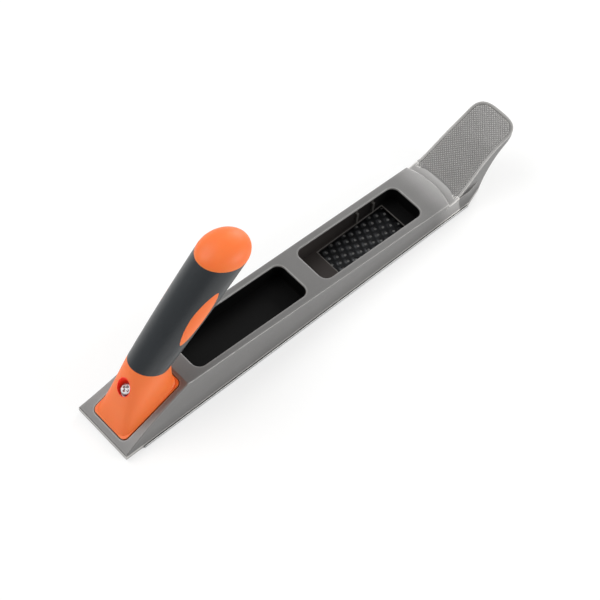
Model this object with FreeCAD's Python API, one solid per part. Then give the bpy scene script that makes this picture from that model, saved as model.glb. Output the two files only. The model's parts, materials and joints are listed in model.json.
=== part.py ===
import FreeCAD, Part
import math
import os

# Two-position rasp plane: a die-cast body that carries a perforated rasp blade, with a
# soft-grip handle screwed to a sloping seat at the heel and a thumb rest at the toe.
# Units are millimetres. +X points to the toe, +Y to the left hand, +Z up.
# The origin is the middle of the blade, on the sole plane.

# ---------------------------------------------------------------- driving dimensions
# blade: a standard 10 inch strip, folded up along both sides and both ends
blade_length = 252.0
blade_width = 42.0
blade_sheet = 0.8
blade_flange_height = 2.6
blade_flange_margin = 0.6
blade_tab_height = 3.8
blade_tab_width = 15.0
tooth_pitch_along = 4.8
tooth_pitch_across = 4.3
tooth_row_slant = 24.3
tooth_column_slant = 20.9
tooth_opening_length = 2.9
tooth_opening_width = 1.9
toothed_margin_end = 12.0
toothed_margin_side = 3.2

# body casting
heel_overhang = 10.7
toe_overhang = 12.2
heel_height = 28.0
toe_height = 12.7
flank_lean_heel = 4.5
flank_lean_toe = 2.8
nose_inset = 5.3
nose_taper_run_out = 1.5
rail_height = 2.6
flank_hollow = 0.9
ridge_radius = 1.2
bay_rim_radius = 0.6
land_edge_radius = 1.2
seat_edge_radius = 0.8
pocket_rim_radius = 0.5
bay_width = 25.6
bay_corner_radius = 5.2
heel_bay_start = -81.0
heel_bay_length = 82.3
toe_bay_start = 13.3
toe_bay_length = 79.3
heel_bay_depth = 11.3
bay_web = 2.2
window_corner_radius = 1.5
toe_floor_top = 4.4
toe_floor_underside = 2.8
window_start = 31.3
window_length = 52.0
window_width = 22.4
underside_width = 31.0
underside_lip = 2.0
underside_rib_thickness = 2.0
underside_rib_count = 3
wall_rib_thickness = 1.6
wall_rib_depth = 1.4
wall_rib_drop = 3.0
wall_rib_first = 63.1
wall_rib_pitch = 13.0
wall_rib_count = 2

# thumb rest
land_arc_x = 113.4
land_arc_sagitta = 4.0
land_step = 1.8
thumb_rest_tip_x = 166.2
thumb_rest_tip_z = 38.2
thumb_rest_thickness = 3.6
thumb_rest_tip_inset = 5.7
thumb_rest_tip_bow = 11.0
underside_knee_x = 146.5
underside_knee_z = 19.5
thumb_rest_tip_droop = 5.4
knurl_recess = 0.4
knurl_border = 1.5
knurl_groove_width = 5.5

# handle seat
seat_angle = 24.5
seat_top_x = -90.9
seat_rim = 2.2
seat_pocket_length = 44.0
seat_pocket_width = 26.6
seat_pocket_depth = 2.6
seat_pocket_corner_radius = 3.4
seat_hollow_width = 25.0

# handle
handle_angle = 48.0
grip_face_angle_low = 71.0
grip_face_angle_high = 79.0
grip_start_x = -104.4
grip_start_z = 43.0
grip_length = 72.6
grip_radius_low = 10.9
grip_radius_mid = 12.3
grip_radius_high = 13.0
grip_depth_ratio = 1.04
grip_rubber = 2.2
cap_height = 10.6
cap_lean_angle = 58.5
cap_spigot_length = 18.0
core_bore_radius = 6.0
core_bore_floor = 14.0
neck_base_rise = 0.2
inlay_length = 36.0
inlay_width = 9.0
inlay_centre = 38.0
inlay_rise = 2.7

# fasteners
handle_screw_radius = 2.0
handle_screw_length = 25.0
screw_head_radius = 3.3
screw_head_height = 2.6
counterbore_radius = 4.4
counterbore_floor = 13.0
bush_radius = 3.0
flat_washer_radius = 4.1
flat_washer_thickness = 0.8
spring_washer_radius = 3.6
spring_washer_thickness = 1.0
nut_across_flats = 7.0
nut_thickness = 3.2
nut_depth_below_seat = 5.4
nut_boss_skin = 1.2
spring_washer_split = 0.6
cross_slot_length = 4.2
cross_slot_width = 1.0
cross_slot_depth = 1.5

# blade clamp and rear hook
clamp_screw_z = 7.2
clamp_cavity_start = 99.0
clamp_cavity_roof = 10.2
clamp_wall_thickness = 6.0
clamp_tab_room = 2.0
clamp_block_length = 10.0
clamp_block_rear = 106.0
clamp_block_floor = 4.2
clamp_arm_floor = 1.4
clamp_arm_roof = 3.6
clamp_screw_length = 30.0
ring_thickness = 0.6
ring_bore_radius = 1.55
ring_radius = 2.75
hook_plate_length = 12.0
hook_plate_width = 18.0
hook_plate_thickness = 1.5
hook_screw_spacing = 9.0
hook_screw_radius = 1.25
hook_screw_head_radius = 2.4
hook_screw_length = 4.6
hook_countersink_share = 0.8
rear_tab_slot_room = 3.0

# clearances
sheet_gap = 0.2
rail_gap = 0.2
pocket_gap = 0.4
part_gap = 0.05
hook_gap = 0.1
slide_gap = 0.2
inlay_gap = 0.1
ring_gap = 0.2
thread_gap = 0.05
screw_hole_gap = 0.2
washer_gap = 0.25

# ---------------------------------------------------------------- derived places
blade_end = blade_length / 2
heel_x = -blade_end - heel_overhang
sole_front_x = blade_end
nose_x = blade_end + toe_overhang
body_floor = blade_sheet + sheet_gap
top_width_heel = blade_width - 2 * flank_lean_heel
top_width_toe = blade_width - 2 * flank_lean_toe
nose_width = blade_width - 2 * nose_inset
thumb_rest_width_tip = blade_width - 2 * thumb_rest_tip_inset
rail_half = blade_width / 2 - blade_sheet - rail_gap
nose_loft_end_x = nose_x + nose_taper_run_out
clamp_wall_rear = blade_end + clamp_tab_room
clamp_wall_front = clamp_wall_rear + clamp_wall_thickness
clamp_head_x = clamp_wall_front + flat_washer_thickness + part_gap
hook_plate_start = -blade_end + blade_sheet + hook_gap
hook_screw_x = hook_plate_start + hook_plate_length / 2 + 1.0
head_seat_h = counterbore_floor + flat_washer_thickness + spring_washer_thickness + part_gap

# reach of a tool that cuts or pushes right through the body, and of one that spans everything
THROUGH = 60.0
BIG = 400.0


def top_height(x):
    """Height of the body's sloping top at x."""
    return heel_height + (toe_height - heel_height) * (x - heel_x) / (sole_front_x - heel_x)


def top_half_width(x):
    """Half width of the body's top at x."""
    share = (x - heel_x) / (sole_front_x - heel_x)
    return (top_width_heel + (top_width_toe - top_width_heel) * share) / 2


seat_dir = FreeCAD.Vector(math.cos(math.radians(seat_angle)), 0, math.sin(math.radians(seat_angle)))
seat_normal = FreeCAD.Vector(-seat_dir.z, 0, seat_dir.x)
seat_top = FreeCAD.Vector(seat_top_x, 0, top_height(seat_top_x))
pocket_centre_s = -(seat_rim + seat_pocket_length / 2)
base_length = seat_pocket_length - 2 * pocket_gap
base_width = seat_pocket_width - 2 * pocket_gap
base_corner_radius = seat_pocket_corner_radius - pocket_gap

handle_dir = FreeCAD.Vector(math.cos(math.radians(handle_angle)), 0, math.sin(math.radians(handle_angle)))
handle_up = FreeCAD.Vector(-handle_dir.z, 0, handle_dir.x)
grip_start = FreeCAD.Vector(grip_start_x, 0, grip_start_z)


def vec(x, y, z):
    return FreeCAD.Vector(x, y, z)


def seat_point(s, y, h):
    """Point on the sloping seat: s up the slope from its top edge, h out of the seat."""
    return seat_top + seat_dir * s + vec(0, y, 0) + seat_normal * h


def box(x0, x1, half_width, z0, z1):
    """Box centred on the XZ plane."""
    return Part.makeBox(x1 - x0, 2 * half_width, z1 - z0, vec(x0, -half_width, z0))


def profile_slab(points, half_width=THROUGH):
    """Closed XZ outline of straight runs, pulled through in Y."""
    wire = Part.makePolygon([vec(x, -half_width, z) for x, z in points + points[:1]])
    return Part.Face(wire).extrude(vec(0, 2 * half_width, 0))


def rounded_outline(x0, x1, half_width, radius, place=None):
    """Rectangle with rounded corners in the XY plane, or on a placement."""
    y0, y1 = -half_width, half_width
    c = radius * (1 - math.sqrt(0.5))
    corners = [((x1 - radius, y0), (x1 - c, y0 + c), (x1, y0 + radius)),
               ((x1, y1 - radius), (x1 - c, y1 - c), (x1 - radius, y1)),
               ((x0 + radius, y1), (x0 + c, y1 - c), (x0, y1 - radius)),
               ((x0, y0 + radius), (x0 + c, y0 + c), (x0 + radius, y0))]
    edges = []
    for i, (a, m, b) in enumerate(corners):
        edges.append(Part.Arc(vec(*a, 0), vec(*m, 0), vec(*b, 0)).toShape())
        nxt = corners[(i + 1) % 4][0]
        edges.append(Part.LineSegment(vec(*b, 0), vec(*nxt, 0)).toShape())
    wire = Part.Wire(edges)
    if place is not None:
        wire.Placement = place
    return wire


def seat_placement(h):
    """Local X up the seat's slope, local Z out of the seat, at height h over the pocket's centre."""
    rotation = FreeCAD.Rotation(seat_dir, vec(0, 1, 0), seat_normal, "XYZ")
    return FreeCAD.Placement(seat_point(pocket_centre_s, 0, h), rotation)


def seat_cylinder(radius, h0, h1):
    """Round bar on the handle screw's axis between two heights over the seat."""
    return Part.makeCylinder(radius, h1 - h0, seat_point(pocket_centre_s, 0, h0), seat_normal)


def x_cylinder(radius, x0, x1, y=0.0, z=clamp_screw_z):
    """Round bar along X."""
    return Part.makeCylinder(radius, x1 - x0, vec(x0, y, z), vec(1, 0, 0))


def hexagon_bar(across_flats, h0, h1):
    """Hexagonal bar on the handle screw's axis."""
    radius = across_flats / math.sqrt(3)
    points = [vec(radius * math.cos(math.radians(60 * k)), radius * math.sin(math.radians(60 * k)), 0)
              for k in range(7)]
    wire = Part.makePolygon(points)
    wire.Placement = seat_placement(h0)
    return Part.Face(wire).extrude(seat_normal * (h1 - h0))


def oval_wire(centre, along, half_along, half_across, power=2.0, count=32):
    """Closed smooth curve: a superellipse with the given power, at a centre, across Y."""
    points = []
    for k in range(count):
        angle = 2 * math.pi * k / count
        c, s = math.cos(angle), math.sin(angle)
        u = math.copysign(abs(c) ** (2 / power), c) * half_along
        v = math.copysign(abs(s) ** (2 / power), s) * half_across
        points.append(centre + along * u + vec(0, v, 0))
    curve = Part.BSplineCurve()
    curve.interpolate(points, PeriodicFlag=True)
    return Part.Wire([curve.toShape()])


# ---------------------------------------------------------------- body casting
def body_section(x, half_top, half_rail):
    """Cross-section of the body: straight rails, hollow flanks and rounded ridges."""
    z_top = top_height(x)
    z_rail = body_floor + rail_height
    r = min(ridge_radius, z_top / 8)
    right = []
    mid_y = (half_rail + half_top) / 2 - flank_hollow
    mid_z = (z_rail + z_top - r) / 2
    c = r * (1 - math.sqrt(0.5))
    right.append(Part.LineSegment(vec(x, half_rail, body_floor), vec(x, half_rail, z_rail)))
    right.append(Part.Arc(vec(x, half_rail, z_rail), vec(x, mid_y, mid_z), vec(x, half_top, z_top - r)))
    right.append(Part.Arc(vec(x, half_top, z_top - r), vec(x, half_top - c, z_top - c),
                          vec(x, half_top - r, z_top)))
    left = [curve.copy() for curve in right]
    mirror = FreeCAD.Matrix()
    mirror.A22 = -1
    for curve in left:
        curve.transform(mirror)
    top = Part.LineSegment(vec(x, half_top - r, z_top), vec(x, r - half_top, z_top))
    bottom = Part.LineSegment(vec(x, -half_rail, body_floor), vec(x, half_rail, body_floor))
    edges = [curve.toShape() for curve in [bottom] + right + [top]]
    edges += [curve.toShape() for curve in reversed(left)]
    return Part.Wire(Part.__sortEdges__(edges))


def body_block():
    """Outer block of the body, still solid: main length and tapering nose."""
    main = Part.makeLoft([body_section(heel_x, top_half_width(heel_x), rail_half),
                          body_section(sole_front_x, top_half_width(sole_front_x), rail_half)], True, True)
    nose_half = nose_width / 2
    nose = Part.makeLoft([body_section(sole_front_x, top_half_width(sole_front_x), rail_half),
                          body_section(nose_loft_end_x, nose_half - 0.2, nose_half)], True, True)
    return main.fuse(nose)


def arc_slab(x_mid, sagitta, half_width, z0, z1):
    """Everything behind a line that bows forwards between +-half_width, between two heights."""
    x_end = x_mid - sagitta
    a, m, b = vec(x_end, -half_width, z0), vec(x_mid, 0, z0), vec(x_end, half_width, z0)
    corners = [b, vec(x_end, BIG, z0), vec(-BIG, BIG, z0), vec(-BIG, -BIG, z0), vec(x_end, -BIG, z0), a]
    edges = [Part.Arc(a, m, b).toShape()]
    edges += [Part.LineSegment(p, q).toShape() for p, q in zip(corners[:-1], corners[1:])]
    return Part.Face(Part.Wire(edges)).extrude(vec(0, 0, z1 - z0))


land_height = top_height(land_arc_x)


def thumb_rest_top():
    """Top line of the thumb rest, from the land's groove to the tip, as a smooth curve in XZ."""
    rise = thumb_rest_tip_z - land_height
    run = thumb_rest_tip_x - land_arc_x
    shares = [(-0.12, -land_step / rise), (0.06, -land_step / rise), (0.24, 0.14), (0.48, 0.52),
              (0.74, 0.80), (1.0, 1.0)]
    points = [vec(land_arc_x + run * u, 0, land_height + rise * w) for u, w in shares]
    curve = Part.BSplineCurve()
    curve.interpolate(points)
    return curve, points


def thumb_rest_plan(inset, x_start):
    """Plan of the thumb rest: slightly waisted sides that run into a bowed tip."""
    half_start = top_half_width(land_arc_x) - inset
    half_waist = nose_width / 2 - inset
    half_tip = thumb_rest_width_tip / 2 - inset
    tip_start = thumb_rest_tip_x - thumb_rest_tip_bow
    bow = thumb_rest_tip_bow - inset
    side = [vec(x_start, half_start, 0), vec((land_arc_x + nose_x) / 2, (half_start + half_waist) / 2, 0),
            vec(nose_loft_end_x, half_waist, 0), vec(tip_start, half_tip, 0)]
    tip = []
    for k in range(-6, 7):
        angle = math.radians(15 * k)
        c, n = math.cos(angle), math.sin(angle)
        tip.append(vec(tip_start + bow * abs(c) ** 0.72, half_tip * math.copysign(abs(n) ** 0.62, n), 0))
    edges = []
    for points in (side, tip, [vec(v.x, -v.y, 0) for v in side]):
        curve = Part.BSplineCurve()
        curve.interpolate(points)
        edges.append(curve.toShape())
    edges.append(Part.LineSegment(vec(x_start, half_start, 0), vec(x_start, -half_start, 0)).toShape())
    return Part.Face(Part.Wire(Part.__sortEdges__(edges)))


def thumb_rest():
    """Upswept thumb rest and the nose under it, with a shallow recess for the knurled panel."""
    top, points = thumb_rest_top()
    start, tip = points[0], points[-1]
    t = thumb_rest_thickness
    under = Part.BSplineCurve()
    under.interpolate([vec(tip.x - 0.6, 0, tip.z - t * 0.8),
                       vec(tip.x - thumb_rest_tip_bow, 0, tip.z - t - thumb_rest_tip_droop),
                       vec(underside_knee_x, 0, underside_knee_z), vec(nose_x + 1.6, 0, body_floor + 4.0)])
    under_end = vec(nose_x, 0, body_floor)
    edges = [top.toShape(), Part.LineSegment(tip, under.StartPoint).toShape(), under.toShape(),
             Part.LineSegment(under.EndPoint, under_end).toShape(),
             Part.LineSegment(under_end, vec(start.x, 0, body_floor)).toShape(),
             Part.LineSegment(vec(start.x, 0, body_floor), start).toShape()]
    face = Part.Face(Part.Wire(edges))
    face.translate(vec(0, -BIG / 2, 0))
    side_shape = face.extrude(vec(0, BIG, 0))
    plan = thumb_rest_plan(0.0, start.x)
    plan.translate(vec(0, 0, -BIG / 2))
    rest = side_shape.common(plan.extrude(vec(0, 0, BIG)))
    block = body_block().common(box(start.x, BIG, BIG, -BIG, land_height - land_step))
    nose = side_shape.common(block)
    return rest, nose


def knurl_recess_tool():
    """Everything over the knurled panel's shallow recess: inside the rim and past the groove."""
    lowered = thumb_rest_top()[0]
    lowered.translate(vec(0, 0, -knurl_recess))
    start, tip, lift = lowered.StartPoint, lowered.EndPoint, vec(0, 0, THROUGH)
    edges = [lowered.toShape(), Part.LineSegment(tip, tip + lift).toShape(),
             Part.LineSegment(tip + lift, start + lift).toShape(),
             Part.LineSegment(start + lift, start).toShape()]
    face = Part.Face(Part.Wire(edges))
    face.translate(vec(0, -BIG / 2, 0))
    above = face.extrude(vec(0, BIG, 0))
    plan = thumb_rest_plan(knurl_border, start.x)
    plan.translate(vec(0, 0, -BIG / 2))
    panel_start = land_arc_x + knurl_groove_width
    groove_side = arc_slab(panel_start, land_arc_sagitta, top_half_width(land_arc_x), -BIG / 2, BIG / 2)
    return above.common(plan.extrude(vec(0, 0, BIG))).cut(groove_side)


def on_top(p):
    """Whether a point lies on the body's sloping top."""
    return abs(p.z - top_height(p.x)) < 0.03


def seat_coordinates(p):
    """Distance up the seat's slope and height over the seat of a point."""
    offset = p - seat_top
    return offset.dot(seat_dir), offset.dot(seat_normal)


def on_bay_rim(p):
    """Whether a point lies on the mouth of either bay."""
    inside = heel_bay_start - 0.02 < p.x < toe_bay_start + toe_bay_length + 0.02
    return on_top(p) and inside and abs(p.y) < bay_width / 2 + 0.02


def on_pocket_rim(p):
    """Whether a point lies on the mouth of the handle's pocket."""
    s, h = seat_coordinates(p)
    inside = abs(s - pocket_centre_s) < seat_pocket_length / 2 + 0.02
    return abs(h) < 0.02 and inside and abs(p.y) < seat_pocket_width / 2 + 0.02


def on_seat_edge(p):
    """Whether a point lies on the seat's outer edge, along a flank or across the heel."""
    h = seat_coordinates(p)[1]
    return abs(h) < 0.03 and (abs(p.y) > seat_pocket_width / 2 + 1 or abs(p.x - heel_x) < 0.02)


def edges_on(shape, test):
    """Edges of a shape whose sampled points all pass the test."""
    return [edge for edge in shape.Edges if all(test(p) for p in edge.discretize(5))]


def make_body_casting():
    block = body_block()
    land = block.common(arc_slab(land_arc_x, land_arc_sagitta, top_half_width(land_arc_x), -BIG / 2, BIG / 2))
    land_front = land_arc_x - land_arc_sagitta - ridge_radius
    land_edge = edges_on(land, lambda p: on_top(p) and p.x > land_front and abs(p.y) < top_half_width(p.x))
    land = land.makeFillet(land_edge_radius, land_edge)
    rest, nose = thumb_rest()
    body = land.fuse([rest, nose]).cut(knurl_recess_tool()).removeSplitter()

    # the heel is cut down to the sloping handle seat
    low = seat_point(-2 * (seat_top_x - heel_x), 0, 0)
    body = body.cut(profile_slab([(seat_top.x, seat_top.z), (low.x, low.z), (low.x, BIG), (seat_top.x, BIG)]))

    # seat pocket, screw hole, and the captive nut's boss in the hollow under the seat
    pocket = rounded_outline(-seat_pocket_length / 2, seat_pocket_length / 2, seat_pocket_width / 2,
                             seat_pocket_corner_radius, seat_placement(-seat_pocket_depth))
    body = body.cut(Part.Face(pocket).extrude(seat_normal * THROUGH))
    seat_web = seat_pocket_depth + bay_web
    hollow_front = seat_top_x - seat_rim
    hollow_rear = hook_plate_start + hook_plate_length + 1
    roof = seat_web / seat_normal.z
    hollow_high = seat_top.z + (hollow_front - seat_top.x) * seat_dir.z / seat_dir.x - roof
    hollow_low = seat_top.z + (hollow_rear - seat_top.x) * seat_dir.z / seat_dir.x - roof
    hollow = profile_slab([(hollow_rear, -THROUGH), (hollow_front, -THROUGH), (hollow_front, hollow_high),
                           (hollow_rear, hollow_low)], seat_hollow_width / 2)
    nut_floor = -nut_depth_below_seat - nut_thickness
    boss = seat_cylinder(nut_across_flats, nut_floor - nut_boss_skin, -seat_pocket_depth)
    boss = boss.common(box(-BIG, BIG, BIG, body_floor + part_gap, BIG))
    body = body.cut(hollow.cut(boss))
    nut_well = hexagon_bar(nut_across_flats + 2 * part_gap, nut_floor - THROUGH, -nut_depth_below_seat)
    body = body.cut([nut_well, seat_cylinder(handle_screw_radius + screw_hole_gap, -THROUGH, THROUGH)])

    # the two open bays: a shallow tray behind, and a deep bay over the blade window in front
    trays = []
    for start, length in ((heel_bay_start, heel_bay_length), (toe_bay_start, toe_bay_length)):
        outline = rounded_outline(start, start + length, bay_width / 2, bay_corner_radius)
        outline.translate(vec(0, 0, -BIG / 2))
        trays.append(Part.Face(outline).extrude(vec(0, 0, BIG)))
    x0, x1 = heel_bay_start - 1, heel_bay_start + heel_bay_length + 1
    above_tray_floor = profile_slab([(x0, top_height(x0) - heel_bay_depth),
                                     (x1, top_height(x1) - heel_bay_depth), (x1, BIG), (x0, BIG)])
    heel_tray = trays[0].common(above_tray_floor)
    toe_tray = trays[1].common(box(-BIG, BIG, BIG, toe_floor_top, BIG))
    for k in range(wall_rib_count):
        rib_x = wall_rib_first + k * wall_rib_pitch
        rib_top = top_height(rib_x) - wall_rib_drop
        for side in (-1, 1):
            y = side * bay_width / 2
            rib = Part.makeBox(wall_rib_thickness, 2 * wall_rib_depth, rib_top - toe_floor_top + 1,
                               vec(rib_x - wall_rib_thickness / 2, y - wall_rib_depth, toe_floor_top - 1))
            toe_tray = toe_tray.cut(rib)
    body = body.cut([heel_tray, toe_tray])
    window_end = window_start + window_length
    window = rounded_outline(window_start, window_end, window_width / 2, window_corner_radius)
    window.translate(vec(0, 0, -THROUGH))
    body = body.cut(Part.Face(window).extrude(vec(0, 0, 2 * THROUGH)))

    # hollow underside: a shallow chip space over the teeth, and a deep core under the heel tray
    chip_space = box(hollow_front + 2 * underside_lip, clamp_cavity_start - 2 * underside_lip,
                     underside_width / 2, -THROUGH, toe_floor_underside)
    x0, x1 = heel_bay_start, heel_bay_start + heel_bay_length
    core_top = heel_bay_depth + bay_web
    core = profile_slab([(x0, -THROUGH), (x1, -THROUGH), (x1, top_height(x1) - core_top),
                         (x0, top_height(x0) - core_top)], underside_width / 2 - underside_lip)
    core_ribs = []
    for k in range(underside_rib_count):
        rib_x = x0 + heel_bay_length * (k + 1) / (underside_rib_count + 1)
        half_rib = underside_rib_thickness / 2
        core_ribs.append(box(rib_x - half_rib, rib_x + half_rib, BIG, toe_floor_underside, BIG))
    body = body.cut([chip_space, core.cut(Part.makeCompound(core_ribs))])

    # blade clamp cavity, its front wall with the screw hole, and the head's recess
    half = blade_tab_width / 2 + slide_gap
    cavity = box(clamp_cavity_start, clamp_wall_rear, half, -THROUGH, clamp_cavity_roof)
    hole = x_cylinder(handle_screw_radius + screw_hole_gap, clamp_wall_rear - 1, clamp_wall_front + 1)
    recess = x_cylinder(counterbore_radius, clamp_wall_front, BIG / 2)
    body = body.cut([cavity, hole, recess])

    # slot for the blade's rear tab, bed for the hook plate and its screw holes
    tab_slot = box(-blade_end - clamp_tab_room, -blade_end + blade_sheet + rear_tab_slot_room, half, -THROUGH,
                   blade_tab_height + slide_gap)
    bed = box(hook_plate_start - part_gap, hook_plate_start + hook_plate_length + part_gap,
              hook_plate_width / 2 + part_gap, -THROUGH, body_floor + hook_plate_thickness)
    body = body.cut([tab_slot, bed])
    for y in (-hook_screw_spacing / 2, hook_screw_spacing / 2):
        body = body.cut(Part.makeCylinder(hook_screw_radius, hook_screw_length + slide_gap,
                                          vec(hook_screw_x, y, body_floor), vec(0, 0, 1)))
    body = body.removeSplitter()

    # soft cast edges round the bays, the pocket and the seat
    for radius, test in ((bay_rim_radius, on_bay_rim), (pocket_rim_radius, on_pocket_rim),
                         (seat_edge_radius, on_seat_edge)):
        body = body.makeFillet(radius, edges_on(body, test))
    return body


def make_rear_hook_plate():
    """Steel plate that the blade's rear tab pulls against, countersunk for two screws."""
    plate = box(hook_plate_start, hook_plate_start + hook_plate_length, hook_plate_width / 2,
                body_floor, body_floor + hook_plate_thickness)
    for y in (-hook_screw_spacing / 2, hook_screw_spacing / 2):
        plate = plate.cut(hook_screw(y, part_gap))
    return plate


def hook_screw(y, grow):
    """Countersunk screw that points up, its head flush with the plate; grow widens it into its hole."""
    head = Part.makeCone(hook_screw_head_radius + grow, hook_screw_radius + grow,
                         hook_plate_thickness * hook_countersink_share, vec(hook_screw_x, y, body_floor),
                        vec(0, 0, 1))
    shank = Part.makeCylinder(hook_screw_radius - part_gap + grow, hook_screw_length,
                              vec(hook_screw_x, y, body_floor), vec(0, 0, 1))
    return head.fuse(shank)


def make_hook_plate_screws():
    return Part.makeCompound([hook_screw(side * hook_screw_spacing / 2, 0.0) for side in (-1, 1)])


def make_handle_nut():
    top = -nut_depth_below_seat - part_gap
    nut = hexagon_bar(nut_across_flats, top - nut_thickness, top)
    return nut.cut(seat_cylinder(handle_screw_radius + thread_gap, -THROUGH, THROUGH))


# ---------------------------------------------------------------- rasp blade
def make_rasp_blade():
    """Perforated strip: pierced flat, then sides and ends folded up."""
    half = blade_width / 2
    row, column = math.radians(tooth_row_slant), math.radians(tooth_column_slant)
    along = (tooth_pitch_along * math.cos(row), -tooth_pitch_along * math.sin(row))
    across = (-tooth_pitch_across * math.sin(column), -tooth_pitch_across * math.cos(column))
    half_len, half_wid = tooth_opening_length / 2, tooth_opening_width / 2
    limit_x = blade_end - toothed_margin_end
    limit_y = half - blade_sheet - toothed_margin_side
    outline = Part.makePolygon([vec(-blade_end, -half, 0), vec(blade_end, -half, 0), vec(blade_end, half, 0),
                                vec(-blade_end, half, 0), vec(-blade_end, -half, 0)])
    openings = []
    reach = int(blade_length / min(tooth_pitch_along, tooth_pitch_across))
    for i in range(-reach, reach + 1):
        for j in range(-reach, reach + 1):
            x = (i + 0.5) * along[0] + (j + 0.5) * across[0]
            y = (i + 0.5) * along[1] + (j + 0.5) * across[1]
            if abs(x) > limit_x or abs(y) > limit_y:
                continue
            openings.append(Part.makePolygon([vec(x - half_len, y, 0), vec(x, y - half_wid, 0),
                                              vec(x + half_len, y, 0), vec(x, y + half_wid, 0),
                                              vec(x - half_len, y, 0)]))
    pierced = Part.makeFace([outline] + openings, "Part::FaceMakerBullseye")
    sheet = pierced.extrude(vec(0, 0, blade_sheet))
    flange_end = blade_end - blade_flange_margin
    flanges = [Part.makeBox(2 * flange_end, blade_sheet, blade_flange_height, vec(-flange_end, y, 0))
               for y in (-half, half - blade_sheet)]
    tabs = [Part.makeBox(blade_sheet, blade_tab_width, blade_tab_height, vec(x, -blade_tab_width / 2, 0))
            for x in (-blade_end, blade_end - blade_sheet)]
    return sheet.fuse(flanges + tabs).removeSplitter()


# ---------------------------------------------------------------- blade clamp
def make_tension_block():
    """Tapped block with a long arm that pushes the blade's front tab forwards."""
    half = blade_tab_width / 2
    front = clamp_block_rear + clamp_block_length
    block = box(clamp_block_rear, front, half, clamp_arm_floor, clamp_cavity_roof - slide_gap)
    arm = box(front - 1, blade_end - blade_sheet - hook_gap, half, clamp_arm_floor, clamp_arm_roof)
    tapped = x_cylinder(handle_screw_radius + thread_gap, clamp_block_rear - 1, front + 1)
    return block.fuse(arm).removeSplitter().cut(tapped)


def cross_slots(centre, direction, turned=0.0):
    """Two crossed slots for a screwdriver, cut back from a head's face."""
    slots = []
    for angle in (0, 90):
        slot = Part.makeBox(cross_slot_width, cross_slot_length, cross_slot_depth,
                            vec(-cross_slot_width / 2, -cross_slot_length / 2, -cross_slot_depth))
        slot.rotate(vec(0, 0, 0), vec(0, 0, 1), angle + turned)
        on_head = FreeCAD.Placement(centre, FreeCAD.Rotation(vec(0, 0, 1), direction))
        slot.Placement = on_head.multiply(slot.Placement)
        slots.append(slot)
    return slots


def make_tension_screw():
    """Captive cheese-head screw: it only turns, and the tapped block travels along it."""
    screw = x_cylinder(handle_screw_radius, clamp_head_x - clamp_screw_length, clamp_head_x)
    head_face = clamp_head_x + screw_head_height
    screw = screw.fuse(x_cylinder(screw_head_radius, clamp_head_x, head_face))
    ring_x = clamp_wall_rear - ring_gap - ring_thickness
    groove = x_cylinder(ring_radius, ring_x - part_gap, ring_x + ring_thickness + part_gap)
    groove = groove.cut(x_cylinder(ring_bore_radius - part_gap, ring_x - THROUGH, ring_x + THROUGH))
    return screw.cut([groove] + cross_slots(vec(head_face, 0, clamp_screw_z), vec(1, 0, 0)))


def make_tension_washer():
    ring = x_cylinder(flat_washer_radius, clamp_wall_front, clamp_wall_front + flat_washer_thickness)
    return ring.cut(x_cylinder(handle_screw_radius + washer_gap, clamp_wall_front - 1, clamp_head_x + 1))


def make_screw_retaining_ring():
    """Open ring snapped into the screw's groove behind the casting's wall."""
    x0 = clamp_wall_rear - ring_gap - ring_thickness
    ring = x_cylinder(ring_radius, x0, x0 + ring_thickness)
    ring = ring.cut(x_cylinder(ring_bore_radius, x0 - 1, x0 + ring_thickness + 1))
    mouth_width = ring_bore_radius * 5 / 3
    mouth = Part.makeBox(ring_thickness + 2, mouth_width, 2 * ring_radius,
                         vec(x0 - 1, -mouth_width / 2, clamp_screw_z))
    return ring.cut(mouth)


# ---------------------------------------------------------------- handle
def grip_radius(t):
    """Half width of the handle at distance t along its axis."""
    share = t / grip_length
    swell = grip_radius_mid - (grip_radius_low + grip_radius_high) / 2
    return grip_radius_low + (grip_radius_high - grip_radius_low) * share + 4 * swell * share * (1 - share)


def grip_face(t, inset=0.0):
    """Direction, half length and half width of the handle's slanted oval section at t."""
    share = t / grip_length
    face_angle = grip_face_angle_low + (grip_face_angle_high - grip_face_angle_low) * share
    tilt = math.radians(face_angle - handle_angle)
    along = handle_dir * math.sin(tilt) - handle_up * math.cos(tilt)
    radius = grip_radius(t) - inset
    return along, radius * grip_depth_ratio / math.cos(tilt), radius


def grip_section(t, inset=0.0):
    """Slanted oval section of the handle at distance t along its axis."""
    along, half_along, half_across = grip_face(t, inset)
    return oval_wire(grip_start + handle_dir * t, along, half_along, half_across)


def grip_solid(inset, t0=0.0, t1=grip_length):
    """Lofted bar of the handle between two distances along its axis."""
    spans = 4
    return Part.makeLoft([grip_section(t0 + (t1 - t0) * k / spans, inset) for k in range(spans + 1)], True)


def inlay_prism(side, grow):
    """Leaf-shaped prism that comes out of one side of the handle; grow widens it into its window."""
    centre = grip_start + handle_dir * inlay_centre + handle_up * inlay_rise
    count = 24
    points = []
    for k in range(count):
        angle = 2 * math.pi * k / count
        c, n = math.cos(angle), math.sin(angle)
        u = math.copysign(abs(c) ** 1.1, c) * (inlay_length / 2 + grow)
        v = math.copysign(abs(n) ** 1.3, n) * (inlay_width / 2 + grow)
        points.append(centre + handle_dir * u + handle_up * v)
    curve = Part.BSplineCurve()
    curve.interpolate(points, PeriodicFlag=True)
    return Part.Face(Part.Wire([curve.toShape()])).extrude(vec(0, side * THROUGH, 0))


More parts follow.
